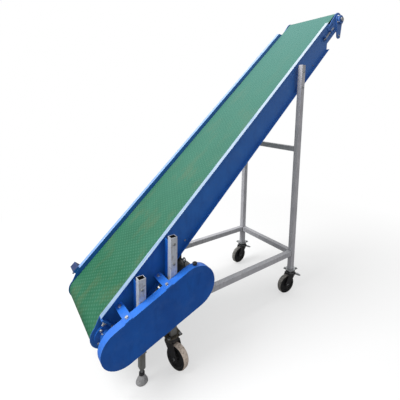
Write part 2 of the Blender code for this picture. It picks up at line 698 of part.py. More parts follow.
rear_x = TUBE / 2
rail_z = LOWER_TUBE_Z + TUBE / 2
cross_end = INNER_ROW[0] - FIT
for label, side in SIDES.items():
    inner_y = side * (INNER_ROW[0] + TUBE / 2)
    rear_leg_top = LIP_HEIGHT - REAR_LEG_DROP
    upright(f"rear_leg_{label}", rear_x, INNER_ROW, side, LEG_BOTTOM, rear_leg_top, GREY_PAINT)
    rail = square_tube("x", FOOT_LEG_X - TUBE / 2, -FIT)
    solid(f"rail_{label}", rail, GREY_PAINT, conveyor, (0, inner_y, rail_z))
    caster_leg_top = lip_at(CASTER_LEG_X) - CASTER_LEG_DROP - LEG_TOP_CUT[label]
    upright(f"caster_leg_{label}", CASTER_LEG_X, OUTER_ROW, side, LEG_BOTTOM, caster_leg_top, STAINLESS)

    half, lower = TUBE / 2, LOWER_LEG / 2
    foot_leg_top = lip_at(FOOT_LEG_X) - LEG_TOP_CUT[label]
    leg_profile = [
        (half, foot_leg_top),
        (half, LEG_STEP_Z),
        (lower, LEG_STEP_Z),
        (lower, LEG_END_Z + 0.010),
        (lower - 0.004, LEG_END_Z),
        (STEM_RADIUS + FIT, LEG_END_Z),
        (STEM_RADIUS + FIT, LEG_END_Z + 0.008),
        (lower - WALL, LEG_END_Z + 0.011),
        (lower - WALL, LEG_STEP_Z + 0.005),
        (half - WALL, LEG_STEP_Z + 0.009),
        (half - WALL, foot_leg_top),
    ]
    outer_y = side * (OUTER_ROW[0] + TUBE / 2)
    solid(f"foot_leg_{label}", square_revolve(leg_profile), STAINLESS, conveyor, (FOOT_LEG_X, outer_y, 0))

    foot_profile = [
        (0, 0),
        (FOOT_RADIUS - 0.003, 0),
        (FOOT_RADIUS, 0.004),
        (FOOT_RADIUS - 0.002, 0.014),
        (0.022, 0.030),
        (0.013, 0.041),
        (0.013, 0.046),
        (0.015, 0.048),
        (0.015, 0.060),
        (STEM_RADIUS, 0.061),
        (STEM_RADIUS, 0.160),
        (0, 0.160),
    ]
    foot = revolve(foot_profile, 24)
    solid(f"levelling_foot_{label}", foot, CAST_IRON, conveyor, (FOOT_LEG_X, outer_y, 0), smooth=True)

    for leg, leg_x in (("foot", FOOT_LEG_X), ("caster", CASTER_LEG_X)):
        spacer_top = lip_at(leg_x) - SPACER_DROP[label]
        spacer_bottom = max(UPPER_FACE_Z + FIT, spacer_top - SPACER_LENGTH)
        upright(f"{leg}_leg_spacer_{label}", leg_x, INNER_ROW, side, spacer_bottom, spacer_top, BLUE_PAINT)

for name, bar_x, bar_z in (
    ("rear_crossbar_lower", rear_x, rail_z),
    ("rear_crossbar_upper", rear_x, UPPER_TUBE_Z + TUBE / 2),
    ("front_crossbar", CASTER_LEG_X, rail_z),
):
    solid(name, square_tube("y", -cross_end, cross_end), GREY_PAINT, conveyor, (bar_x, 0, bar_z))

# ---- casters ---------------------------------------------------------------------------------------

CASTERS = {
    "front_near": (CASTER_LEG_X, -(OUTER_ROW[0] + TUBE / 2)),
    "front_far": (CASTER_LEG_X, OUTER_ROW[0] + TUBE / 2),
    "rear_near": (rear_x, -(INNER_ROW[0] + TUBE / 2)),
    "rear_far": (rear_x, INNER_ROW[0] + TUBE / 2),
}
race_bottom = CASTER_HEIGHT - PLATE_THICKNESS - RACE_DEPTH
crown_top = race_bottom - FIT
crown_bottom = crown_top - FORK_CROWN
cheek_in = WHEEL_WIDTH / 2 + CHEEK_GAP
cheek_out = cheek_in + FORK_SHEET
cheek_outline = hull(
    [
        (-0.034, crown_top - 0.001),
        (0.034, crown_top - 0.001),
        (0.034, crown_bottom - 0.006),
        *circle_points(-TRAIL, WHEEL_RADIUS, 0.020, 20),
    ]
)
wheel_profile = [
    (AXLE_RADIUS + FIT, -WHEEL_WIDTH / 2 - 0.005),
    (0.016, -WHEEL_WIDTH / 2 - 0.005),
    (0.019, -WHEEL_WIDTH / 2 + 0.007),
    (0.052, -WHEEL_WIDTH / 2 + 0.007),
    (0.056, -WHEEL_WIDTH / 2),
    (WHEEL_RADIUS - 0.005, -WHEEL_WIDTH / 2),
    (WHEEL_RADIUS, -WHEEL_WIDTH / 2 + 0.008),
    (WHEEL_RADIUS, WHEEL_WIDTH / 2 - 0.008),
    (WHEEL_RADIUS - 0.005, WHEEL_WIDTH / 2),
    (0.056, WHEEL_WIDTH / 2),
    (0.052, WHEEL_WIDTH / 2 - 0.007),
    (0.019, WHEEL_WIDTH / 2 - 0.007),
    (0.016, WHEEL_WIDTH / 2 + 0.005),
    (AXLE_RADIUS + FIT, WHEEL_WIDTH / 2 + 0.005),
]
pedal_outline = [
    (-0.008, -0.005),
    (-0.004, 0.007),
    (0.024, 0.007),
    (0.080, -0.026),
    (0.092, -0.030),
    (0.090, -0.038),
    (0.074, -0.034),
    (0.022, -0.006),
]

pivot = (PEDAL_AHEAD, 0, CASTER_HEIGHT - PEDAL_DROP)
for label, (x, y) in CASTERS.items():
    plate_z = (CASTER_HEIGHT - PLATE_THICKNESS, CASTER_HEIGHT)
    plate_shape = box((-PLATE_LENGTH / 2, PLATE_LENGTH / 2), (-PLATE_WIDTH / 2, PLATE_WIDTH / 2), plate_z)
    plate = solid(f"caster_plate_{label}", plate_shape, ZINC, conveyor, (x, y, 0))
    unite(plate, cylinder(RACE_RADIUS, race_bottom, plate_z[0] + 0.001, 28, "z"))

    turn = (0, 0, CASTER_TURNS[label])
    crown = box((-0.034, 0.034), (-cheek_out, cheek_out), (crown_bottom, crown_top))
    fork = solid(f"caster_fork_{label}", crown, BLACK_STEEL, conveyor, (x, y, 0), turn)
    for side in (-1, 1):
        unite(fork, prism(cheek_outline, *span(side, cheek_in, cheek_out)))
    braked = label.startswith("rear")
    if braked:
        drill(fork, PIN_RADIUS + FIT, -cheek_out, cheek_out, "y", *pivot)
    axle = cylinder(AXLE_RADIUS, -cheek_out - AXLE_END, cheek_out + AXLE_END, 16)
    unite(fork, moved(axle, -TRAIL, 0, WHEEL_RADIUS))
    wheel = revolve(wheel_profile, 30, "y")
    solid(f"caster_wheel_{label}", wheel, WHEEL_PLASTIC, fork, (-TRAIL, 0, WHEEL_RADIUS), smooth=True)
    if braked:
        lever = prism(pedal_outline, -PEDAL_WIDTH / 2, PEDAL_WIDTH / 2)
        pedal = solid(f"brake_pedal_{label}", lever, BLACK_STEEL, fork, pivot)
        unite(pedal, cylinder(PIN_RADIUS, -cheek_out - 0.002, cheek_out + 0.002, 12))

# ---- drive: motor on a shelf across the rails, V-belt and guard ---------------------------------------

shelf_x = (MOTOR_X - MOTOR_PLATE_LENGTH / 2, MOTOR_X + MOTOR_PLATE_LENGTH / 2)
solid("motor_shelf", box(shelf_x, (-INNER_ROW[1], INNER_ROW[1]), SHELF_Z), GREY_PAINT, conveyor)

gear_feet = [(-GEAR_FOOT / 2, -MOTOR_AXIS_HEIGHT), (GEAR_FOOT / 2, -MOTOR_AXIS_HEIGHT)]
gear_outline = hull([*circle_points(0, 0, GEAR_RADIUS, 36), *gear_feet])
gear_back = GEAR_FACE_Y + GEAR_LENGTH
motor_at = (MOTOR_X, 0, MOTOR_Z)
gear = prism(gear_outline, GEAR_FACE_Y, gear_back)
solid("gear_case", gear, MOTOR_PAINT, conveyor, motor_at, smooth=True)

valley = MOTOR_RADIUS - MOTOR_FIN
fin_corners = ((0.0, MOTOR_RADIUS), (0.3, MOTOR_RADIUS), (0.4, valley), (0.9, valley))
fins = []
for i in range(MOTOR_FINS):
    for share, radius in fin_corners:
        angle = 2 * math.pi * (i + share) / MOTOR_FINS
        fins.append((radius * math.cos(angle), radius * math.sin(angle)))
motor_front = gear_back + FIT
motor_end = motor_front + MOTOR_LENGTH
finned = prism(fins, motor_front, motor_end - COWL_LENGTH + 2 * COWL_RIM)
motor = solid("motor_body", finned, MOTOR_PAINT, conveyor, motor_at)
unite(motor, cylinder(MOTOR_RADIUS + COWL_RIM, motor_end - COWL_LENGTH, motor_end, 36))

eye = revolve([(EYE_RADIUS + x, z) for x, z in circle_points(0, 0, EYE_WIRE, 8)], 20, "x")
eye_y = GEAR_FACE_Y + GEAR_LENGTH / 2
eye_z = GEAR_RADIUS + FIT + EYE_RADIUS + EYE_SHANK
eye_bolt = solid("lifting_eye", eye, ZINC, conveyor, (MOTOR_X, eye_y, MOTOR_Z + eye_z), smooth=True)
unite(eye_bolt, cylinder(0.005, -EYE_RADIUS - EYE_SHANK, -EYE_RADIUS + 0.001, 12, "z"))

motor_sheave = revolve(sheave_profile(MOTOR_SHEAVE_RADIUS, 0), 40, "y")
sheave_at = (MOTOR_X, SHEAVE_Y, MOTOR_Z)
sheave = solid("motor_sheave", motor_sheave, CAST_IRON, conveyor, sheave_at, smooth=True)
unite(sheave, cylinder(0.012, 0, GEAR_FACE_Y - FIT - SHEAVE_Y, 20))

v_path = belt_path(
    [
        (DRUM_X, DRUM_Z, DRUM_SHEAVE_RADIUS - BELT_SINK),
        (MOTOR_X, MOTOR_Z, MOTOR_SHEAVE_RADIUS - BELT_SINK),
    ],
    16,
)
v_section = [(-0.004, -0.0042), (0.004, -0.0062), (0.004, 0.0062), (-0.004, 0.0042)]
solid("v_belt", swept_belt(v_path, v_section), RUBBER, conveyor, (0, SHEAVE_Y, 0), smooth=True)


def guard_outline(inset):
    """Outline of the guard: its two round ends and the straight lines that touch both."""
    (ax, az, ar), (bx, bz, br) = GUARD_LOW, GUARD_HIGH
    along = math.atan2(bz - az, bx - ax)
    lean = math.acos((ar - br) / math.hypot(bx - ax, bz - az))
    outline = []
    for (x, z, radius), start, end in (
        ((bx, bz, br), along - lean, along + lean),
        ((ax, az, ar), along + lean, along - lean + 2 * math.pi),
    ):
        for step in range(21):
            angle = start + (end - start) * step / 20
            outline.append((x + (radius - inset) * math.cos(angle), z + (radius - inset) * math.sin(angle)))
    return outline


guard_inside_y = GUARD_FACE_Y + GUARD_SHEET
guard = pan(guard_outline(0), guard_outline(GUARD_SHEET), GUARD_BACK_Y, guard_inside_y, GUARD_FACE_Y)
solid("guard_cover", guard, BLUE_PAINT, conveyor)

top_edge = guard_outline(0)[20:22]
slope = math.atan2(top_edge[0][1] - top_edge[1][1], top_edge[0][0] - top_edge[1][0])
for label, strap_x in zip(("low", "high"), STRAP_X):
    strap_z = top_edge[1][1] + (strap_x - top_edge[1][0]) * math.tan(slope)
    across = (GUARD_FACE_Y + 0.001, -WEB_OUTSIDE - FIT)
    strap = box((-STRAP_WIDTH / 2, STRAP_WIDTH / 2), across, (FIT, FIT + STRAP_THICKNESS))
    solid(f"guard_strap_{label}", strap, BLUE_PAINT, conveyor, (strap_x, 0, strap_z), (0, -slope, 0))

# ---- origin on the floor, under the centre of the conveyor -------------------------------------------

bpy.context.view_layer.update()
pieces = [item for item in bpy.data.objects if item.type == "MESH"]
corners = [piece.matrix_world @ vertex.co for piece in pieces for vertex in piece.data.vertices]
for axis in (0, 1):
    values = [corner[axis] for corner in corners]
    conveyor.location[axis] = -(min(values) + max(values)) / 2
bpy.context.view_layer.update()
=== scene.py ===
"""Looks for the inclined mobile belt conveyor: finishes, belt, fixings, welds, light and camera.

Metres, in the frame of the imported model: +X along the conveyor towards its raised end, and
+Y away from the guarded drive.
"""

import json
import math

import bmesh
import bpy
from mathutils import Matrix, Vector


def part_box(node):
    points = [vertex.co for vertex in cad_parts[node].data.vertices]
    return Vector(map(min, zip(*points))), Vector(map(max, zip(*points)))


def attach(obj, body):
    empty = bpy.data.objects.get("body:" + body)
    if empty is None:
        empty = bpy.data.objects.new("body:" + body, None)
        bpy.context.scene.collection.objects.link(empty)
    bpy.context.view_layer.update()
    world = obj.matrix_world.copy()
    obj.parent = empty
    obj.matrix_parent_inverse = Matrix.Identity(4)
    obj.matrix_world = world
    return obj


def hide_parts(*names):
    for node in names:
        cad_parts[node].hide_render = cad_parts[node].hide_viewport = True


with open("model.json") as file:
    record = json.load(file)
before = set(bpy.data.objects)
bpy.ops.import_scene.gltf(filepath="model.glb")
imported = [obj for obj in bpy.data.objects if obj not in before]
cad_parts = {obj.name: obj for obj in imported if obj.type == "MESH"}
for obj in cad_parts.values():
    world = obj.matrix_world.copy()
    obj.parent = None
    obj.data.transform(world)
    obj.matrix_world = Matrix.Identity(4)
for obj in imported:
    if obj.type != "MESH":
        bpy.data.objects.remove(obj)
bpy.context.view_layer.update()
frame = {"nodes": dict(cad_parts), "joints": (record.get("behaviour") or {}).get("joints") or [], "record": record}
nodes = frame["nodes"]

MM = 0.001
SIDES = {"near": -1, "far": 1}
CASTERS = ("front_near", "front_far", "rear_near", "rear_far")

# ---- where things are -------------------------------------------------------------------------


def middle(node):
    low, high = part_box(node)
    return (low + high) / 2


def size(node):
    low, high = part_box(node)
    return high - low


REAR_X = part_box("rear_leg_near")[0].x
MID_Y = (middle("rear_leg_near").y + middle("rear_leg_far").y) / 2
SLOPE = math.radians(45.0)
LIP_HEIGHT = 1.863  # height of the side frame's top above the rear face of the rear legs
LIP_TAIL = -2.035  # where the lips start at the tail, along the incline from there
WEB_OUTSIDE = 259 * MM  # outer face of a side frame's web, from the centre plane
UPHILL = Vector((math.cos(SLOPE), 0, math.sin(SLOPE)))
OFF_BED = Vector((-math.sin(SLOPE), 0, math.cos(SLOPE)))
TAIL_AXIS = middle("drum_sheave")
TAIL_AXIS.y = MID_Y
HEAD_AXIS = middle("head_drum")
ROLLER_AXES = [middle("return_roller_low"), middle("return_roller_high")]

# ---- finishes ---------------------------------------------------------------------------------


def paint_chip(code):
    """sRGB hex to linear RGBA."""
    channels = [int(code[i : i + 2], 16) / 255 for i in (1, 3, 5)]
    return (*[c / 12.92 if c <= 0.04045 else ((c + 0.055) / 1.055) ** 2.4 for c in channels], 1.0)


def add_node(tree, kind, inputs=None, stops=(), **settings):
    """Adds a node. inputs maps an input's name or number to a value, a hex colour or an output."""
    made = tree.nodes.new(kind)
    for key, value in settings.items():
        setattr(made, key, value)
    for key, value in (inputs or {}).items():
        if isinstance(value, bpy.types.NodeSocket):
            tree.links.new(value, made.inputs[key])
        else:
            made.inputs[key].default_value = paint_chip(value) if isinstance(value, str) else value
    for i, (place, colour) in enumerate(stops):
        band = made.color_ramp.elements
        stop = band[i] if i < len(band) else band.new(place)
        stop.position = place
        stop.color = paint_chip(colour)
    return made


def start_finish(name, roughness, metallic=0.0, **values):
    """A Principled material with its uniform values on its own sockets, and its coordinates at rest."""
    made = bpy.data.materials.new(name)
    made.use_nodes = True
    shader = made.node_tree.nodes["Principled BSDF"]
    shader.inputs["Roughness"].default_value = roughness
    shader.inputs["Metallic"].default_value = metallic
    for key, value in values.items():
        shader.inputs[key.replace("_", " ")].default_value = value
    place = add_node(made.node_tree, "ShaderNodeTexCoord")
    return made, made.node_tree, shader, place.outputs["Object"]


def along_bed(tree, place):
    """The same coordinates turned so that X runs up the incline and Z off the bed."""
    made = add_node(tree, "ShaderNodeMapping", {"Vector": place, "Rotation": (0, SLOPE, 0)})
    return made.outputs["Vector"]


def patches(tree, place, grain, least=0.0, most=1.0, bare=0.35, full=0.65, stretch=(1, 1, 1)):
    """Soft patches of a grain in metres: the least where the noise is below bare, the most above full."""
    scale = [1 / length for length in stretch]
    spread = add_node(tree, "ShaderNodeMapping", {"Vector": place, "Scale": scale})
    settings = {"Vector": spread.outputs["Vector"], "Scale": 1 / grain, "Detail": 5.0, "Roughness": 0.6}
    cloud = add_node(tree, "ShaderNodeTexNoise", settings)
    limits = {"From Min": bare, "From Max": full, "To Min": least, "To Max": most}
    return add_node(tree, "ShaderNodeMapRange", {"Value": cloud.outputs["Fac"], **limits}).outputs["Result"]


def edge_mask(tree, width, most=1.0):
    """The most at corners, over this width in metres, and 0 on flat faces."""
    soft = add_node(tree, "ShaderNodeBevel", {"Radius": width}, samples=4)
    true = add_node(tree, "ShaderNodeNewGeometry")
    pair = {0: soft.outputs["Normal"], 1: true.outputs["True Normal"]}
    dot = add_node(tree, "ShaderNodeVectorMath", pair, operation="DOT_PRODUCT")
    limits = {"From Min": 0.99, "From Max": 0.80, "To Min": 0.0, "To Max": most}
    return add_node(tree, "ShaderNodeMapRange", {"Value": dot.outputs["Value"], **limits}).outputs["Result"]


def crossing_ridges(tree, place, pitch, angle):
    """Two sets of rounded ridges at this pitch, leaning by plus and minus an angle in the X-Y plane."""
    ridges = []
    for lean in (angle, -angle):
        leaning = add_node(tree, "ShaderNodeMapping", {"Vector": place, "Rotation": (0, 0, lean)})
        wave = {"Vector": leaning.outputs["Vector"], "Scale": 1 / (pitch * WAVES_PER_UNIT)}
        ridges.append(add_node(tree, "ShaderNodeTexWave", wave).outputs["Fac"])
    return add_node(tree, "ShaderNodeMath", {0: ridges[0], 1: ridges[1]}, operation="MULTIPLY").outputs[0]


def lay_colours(tree, shader, base, *layers):
    """Lays colours over a base, each by its own amount, and gives the result to the shader."""
    colour = base
    for amount, over in layers:
        mixed = add_node(tree, "ShaderNodeMix", {0: amount, 6: colour, 7: over}, data_type="RGBA")
        colour = mixed.outputs[2]
    tree.links.new(colour, shader.inputs["Base Color"])


def raise_skin(tree, shader, height, depth):
    """Bumps the surface by a height from 0 to 1 times a depth in metres, with fine grit over it."""
    grit = add_node(tree, "ShaderNodeTexNoise", {"Scale": 1 / (1.5 * MM), "Detail": 2.0})
    sum_of_both = {0: grit.outputs["Fac"], 1: 0.15, 2: height}
    grained = add_node(tree, "ShaderNodeMath", sum_of_both, operation="MULTIPLY_ADD")
    bump = add_node(tree, "ShaderNodeBump", {"Height": grained.outputs[0], "Distance": depth})
    tree.links.new(bump.outputs["Normal"], shader.inputs["Normal"])


WAVES_PER_UNIT = 20 / (2 * math.pi)  # a wave texture's periods in a metre at scale 1


def royal_blue_enamel(name, coat, thick, smear):
    """Alkyd enamel sprayed on sheet steel: orange peel and uneven coats, with painted highlight in bright blue on
    its edges and painted reflection paling it high up.
    """
    made, tree, shader, place = start_finish(name, 0.4, Specular_IOR_Level=0.3, Coat_Weight=0.05)
    clouds = patches(tree, place, 160 * MM)
    smears = patches(tree, place, 35 * MM, most=0.4, bare=0.5, full=0.75, stretch=(1, 1, 3))
    dust = patches(tree, place, 90 * MM, most=0.12, bare=0.5, full=0.75)
    edges = edge_mask(tree, 2.5 * MM, 0.45)
    height = add_node(tree, "ShaderNodeSeparateXYZ", {"Vector": place})
    limits = {"From Min": 0.7, "From Max": 2.2, "To Min": 0.0, "To Max": 0.75}
    paling = add_node(tree, "ShaderNodeMapRange", {"Value": height.outputs["Z"], **limits})
    # Painted light: the bright blue on the edges is painted highlight and the paler blue high up is painted
    # reflection; clouds, smears and dust are the paint's own.
    lay_colours(
        tree, shader, coat,
        (clouds, thick), (smears, smear), (paling.outputs["Result"], "#5584CC"),
        (dust, "#6F8FBC"), (edges, "#5FA4F4"),
    )
    tree.links.new(patches(tree, place, 35 * MM, 0.32, 0.5, stretch=(1, 1, 3)), shader.inputs["Roughness"])
    raise_skin(tree, shader, patches(tree, place, 5 * MM), 0.12 * MM)
    return made


def sheen_lip(name, low, high, streak, left_blue):
    """The same enamel on the lips, with streaks rubbed along the run by goods; its pale colour, paler still
    uphill, is painted reflection of the sky.
    """
    made, tree, shader, place = start_finish(name, 0.5)
    run = along_bed(tree, place)
    streaks = patches(tree, run, 8 * MM, bare=0.35, full=0.7, stretch=(14, 1, 1))
    left = patches(tree, run, 45 * MM, most=0.6, bare=0.55, full=0.7, stretch=(3, 1, 1))
    height = add_node(tree, "ShaderNodeSeparateXYZ", {"Vector": place})
    limits = {"From Min": 0.5, "From Max": 2.2, "To Min": 0.0, "To Max": 1.0}
    sheen_uphill = add_node(tree, "ShaderNodeMapRange", {"Value": height.outputs["Z"], **limits})
    half_streaks = add_node(tree, "ShaderNodeMath", {0: streaks, 1: 0.5}, operation="MULTIPLY")
    # Painted reflection: the pale base and its paling uphill stand in for the sky's sheen; the streaks are rubbing
    # by goods.
    lay_colours(
        tree, shader, low,
        (sheen_uphill.outputs["Result"], high), (half_streaks.outputs[0], streak), (left, left_blue),
    )
    tree.links.new(patches(tree, run, 45 * MM, 0.42, 0.62), shader.inputs["Roughness"])
    raise_skin(tree, shader, streaks, 0.1 * MM)
    return made


def belt_cover():
    """Moulded PVC cover with a rough diamond top, dull, with brown dust where goods ride; its paler, bluer colour
    uphill is painted sheen and its lighter ridge crowns are painted highlight.

    Its ridges are 6 mm apart, too fine to show, and are drawn at 20 mm.
    """
    made, tree, shader, place = start_finish("green_pvc_belt_cover", 0.62, Specular_IOR_Level=0.2)
    run = along_bed(tree, place)
    ridges = crossing_ridges(tree, run, 20 * MM, math.radians(32))
    clouds = patches(tree, run, 190 * MM)
    dust = patches(tree, run, 110 * MM, most=0.6, bare=0.5, full=0.74, stretch=(1.8, 1, 1))
    height = add_node(tree, "ShaderNodeSeparateXYZ", {"Vector": place})
    limits = {"From Min": 0.5, "From Max": 2.3, "To Min": 0.0, "To Max": 1.0}
    sheen_uphill = add_node(tree, "ShaderNodeMapRange", {"Value": height.outputs["Z"], **limits})
    lit_crown = add_node(tree, "ShaderNodeMath", {0: ridges, 1: 0.3}, operation="MULTIPLY")
    # Painted light: the paler, bluer colour uphill is painted sheen and the lighter ridge crowns are painted
    # highlight; clouds and dust are the cover's own.
    lay_colours(
        tree, shader, "#1F6344",
        (clouds, "#2A6C4E"), (dust, "#5C6B44"), (sheen_uphill.outputs["Result"], "#588C84"),
        (lit_crown.outputs[0], "#5E9880"),
    )
    raise_skin(tree, shader, ridges, 0.6 * MM)
    return made


def woven_ply():
    """Polyester fabric under the belt: two sets of 2 mm threads crossing, fluffed and dusty."""
    made, tree, shader, place = start_finish("grey_polyester_ply", 0.75)
    threads = crossing_ridges(tree, along_bed(tree, place), 2 * MM, math.radians(45))
    fluff = patches(tree, place, 20 * MM, most=0.3)
    lay_colours(tree, shader, "#A7A79B", (threads, "#C9C8BC"), (fluff, "#8C887C"))
    raise_skin(tree, shader, threads, 0.2 * MM)
    return made


def satin_grey_paint():
    """Two-pack satin grey sprayed on mild-steel tube: even, with dust, drips and rubbed corners."""
    made, tree, shader, place = start_finish("satin_grey_paint", 0.45, Coat_Weight=0.08)
    streaks = patches(tree, place, 12 * MM, most=0.4, bare=0.5, full=0.72, stretch=(1, 1, 8))
    clouds = patches(tree, place, 120 * MM)
    edges = edge_mask(tree, 2 * MM, 0.5)
    lay_colours(tree, shader, "#CDCCD1", (clouds, "#BEBEC4"), (streaks, "#97948F"), (edges, "#DCDDE1"))
    tree.links.new(patches(tree, place, 12 * MM, 0.38, 0.58, stretch=(1, 1, 8)), shader.inputs["Roughness"])
    raise_skin(tree, shader, patches(tree, place, 4 * MM), 0.1 * MM)
    return made


def brushed_stainless():
    """Stainless tube, belt-polished to a bright satin, stained by handling, with painted shade darkening it low
    down.
    """
    made, tree, shader, place = start_finish("brushed_stainless_tube", 0.42, 0.3)
    grain = patches(tree, place, 1.6 * MM, stretch=(1, 1, 40))
    stains = patches(tree, place, 26 * MM, most=0.7, bare=0.52, full=0.68, stretch=(1, 1, 2.4))
    tides = patches(tree, place, 15 * MM, most=0.8, bare=0.62, full=0.72)
    # Painted shade: the tube turns darker below about 0.45 m.
    height = add_node(tree, "ShaderNodeSeparateXYZ", {"Vector": place})
    limits = {"From Min": 0.45, "From Max": 0.32, "To Min": 0.0, "To Max": 0.8}
    painted_shade_low = add_node(tree, "ShaderNodeMapRange", {"Value": height.outputs["Z"], **limits})
    lay_colours(
        tree, shader, "#C6CBD2",
        (grain, "#E4E9F0"), (stains, "#A19C96"), (tides, "#70503A"), (painted_shade_low.outputs["Result"], "#6E6B62"),
    )
    tree.links.new(patches(tree, place, 26 * MM, 0.36, 0.56), shader.inputs["Roughness"])
    raise_skin(tree, shader, grain, 0.08 * MM)
    return made


def zinc_plate(name, pale, dull):
    """Plated or rolled steel: a small bright spangle that handling has dulled in patches."""
    made, tree, shader, place = start_finish(name, 0.38, 0.9)
    spangle = add_node(tree, "ShaderNodeTexVoronoi", {"Vector": place, "Scale": 1 / (7 * MM)})
    dulled = patches(tree, place, 18 * MM, most=0.6, bare=0.5, full=0.7)
    lay_colours(tree, shader, pale, (spangle.outputs["Distance"], dull), (dulled, "#7C7A76"))
    tree.links.new(patches(tree, place, 18 * MM, 0.3, 0.54), shader.inputs["Roughness"])
    raise_skin(tree, shader, dulled, 0.1 * MM)
    return made


def black_dip():
    """Pressed steel dipped in black stoving enamel: semi-gloss, dusty, grey on its edges."""
    made, tree, shader, place = start_finish("black_dipped_steel", 0.42)
    clouds = patches(tree, place, 25 * MM)
    dust = patches(tree, place, 8 * MM, most=0.4, bare=0.5, full=0.75)
    edges = edge_mask(tree, 1.5 * MM, 0.6)
    lay_colours(tree, shader, "#18181A", (clouds, "#2A2A2E"), (edges, "#77767A"), (dust, "#6A6259"))
    tree.links.new(patches(tree, place, 8 * MM, 0.36, 0.6), shader.inputs["Roughness"])
    raise_skin(tree, shader, clouds, 0.1 * MM)
    return made


def moulded_polymer(name, clean, scuffed, roughness, grain=12 * MM):
    """Moulded plastic or rubber: matt skin with scuffs, and dirt rubbed into them."""
    made, tree, shader, place = start_finish(name, roughness)
    scuffs = patches(tree, place, grain, bare=0.5, full=0.75)
    lay_colours(tree, shader, clean, (scuffs, scuffed))
    matt = patches(tree, place, grain, roughness - 0.08, roughness + 0.12)
    tree.links.new(matt, shader.inputs["Roughness"])
    raise_skin(tree, shader, scuffs, 0.08 * MM)
    return made


def cast_iron():
    """Sand-cast iron: pitted skin under a thin pale grey wash, rusty where the wash is gone."""
    made, tree, shader, place = start_finish("sand_cast_iron", 0.62, 0.2)
    pits = patches(tree, place, 3 * MM)
    clouds = patches(tree, place, 14 * MM)
    rust = patches(tree, place, 10 * MM, most=0.5, bare=0.58, full=0.75)
    lay_colours(tree, shader, "#BDBDBD", (clouds, "#A0A0A2"), (rust, "#7F6556"))
    raise_skin(tree, shader, pits, 0.35 * MM)
    return made


def machine_enamel():
    """Stoved dark grey enamel on aluminium castings: fine pebble skin with dust lying on it."""
    made, tree, shader, place = start_finish("dark_motor_enamel", 0.45)
    clouds = patches(tree, place, 60 * MM)
    dust = patches(tree, place, 15 * MM, most=0.35, bare=0.5, full=0.75)
    lay_colours(tree, shader, "#2E3136", (clouds, "#3D4148"), (dust, "#6D6A63"))
    raise_skin(tree, shader, patches(tree, place, 2 * MM), 0.15 * MM)
    return made


def weld_metal():
    """Arc weld under thin paint: rippled, grey-brown with heat tint."""
    made, tree, shader, place = start_finish("mild_steel_weld", 0.5, 0.4)
    tint = patches(tree, place, 6 * MM)
    heat = patches(tree, place, 9 * MM, most=0.6, bare=0.5)
    lay_colours(tree, shader, "#8A888A", (tint, "#A4A4A8"), (heat, "#84776A"))
    raise_skin(tree, shader, tint, 0.3 * MM)
    return made


ENAMEL = royal_blue_enamel("royal_blue_enamel", "#0F60C0", "#0D55B0", "#0C4590")
# A paler copy of the enamel for the side frames: painted reflection.
SHEEN_ENAMEL = royal_blue_enamel("sheen_painted_blue_enamel", "#2C74CC", "#2466BC", "#1C509A")
# A lighter copy of the enamel for the guard's rims: painted highlight.
LIT_RIM_ENAMEL = royal_blue_enamel("lit_rim_blue_enamel", "#2E7CE6", "#2670D8", "#1C62C6")
# A dark navy copy of the enamel with near-black smears, for the far tracking lug.
DARK_NAVY_ENAMEL = royal_blue_enamel("dark_navy_enamel", "#0C3070", "#0A2658", "#12161E")
# Pale lip finishes: painted reflection on the side frames' top faces.
LIPS = {
    "near": sheen_lip("sheen_painted_near_lip", "#6F95BE", "#C6D5E2", "#DCE8F2", "#6E97C4"),
    "far": sheen_lip("sheen_painted_far_lip", "#6F9FE2", "#A6C4E8", "#BCD4F2", "#5B8FDC"),
}
COVER = belt_cover()
FABRIC = woven_ply()
CUT_EDGE = moulded_polymer("cut_belt_edge", "#2F6048", "#7E8A76", 0.7, 6 * MM)
GREY = satin_grey_paint()
STAINLESS = brushed_stainless()
ZINC = zinc_plate("bright_zinc_plate", "#CDD0D2", "#A9ACAE")
BLACK = black_dip()
TREAD = moulded_polymer("cream_polyurethane_tread", "#E0D0C2", "#8C7C68", 0.5)
WORN_TREAD = moulded_polymer("worn_grey_tread", "#85827E", "#D6D2CB", 0.55, 10 * MM)
CORE = moulded_polymer("black_nylon_core", "#17171A", "#45423F", 0.45)
RUBBER = moulded_polymer("black_rubber", "#161616", "#3E3B38", 0.72)
IRON = cast_iron()
MOTOR = machine_enamel()
BARE = zinc_plate("rolled_bare_steel", "#A6A6A4", "#83827F")
# A darker, browner plate finish for the front casters' plates.
DARK_BROWN_PLATE = zinc_plate("dark_brown_caster_plate", "#8C8577", "#4E463A")
WELD = weld_metal()
SCALE = moulded_polymer("dark_mill_scale", "#1E1D1D", "#4A4038", 0.7, 9 * MM)

SLOT_FINISH = {
    "blue_paint": ENAMEL,
    "green_belt": COVER,
    "stainless_tube": STAINLESS,
    "grey_paint": GREY,
    "zinc_steel": ZINC,
    "black_steel": BLACK,
    "wheel_plastic": CORE,
    "black_rubber": RUBBER,
    "cast_iron": IRON,
    "motor_paint": MOTOR,
    "bed_steel": BARE,
}
SLOT_OF = {part["node"]: part["material_slot"] for part in frame["record"]["subparts"]}

for name, item in nodes.items():
    item.data.materials.clear()
    item.data.materials.append(SLOT_FINISH[SLOT_OF[name]])


def second_finish(node, finish, chosen):
    """Gives the faces for which chosen(face) is true a second finish."""
    mesh = nodes[node].data
    mesh.materials.append(finish)
    for face in mesh.polygons:
        if chosen(face):
            face.material_index = len(mesh.materials) - 1


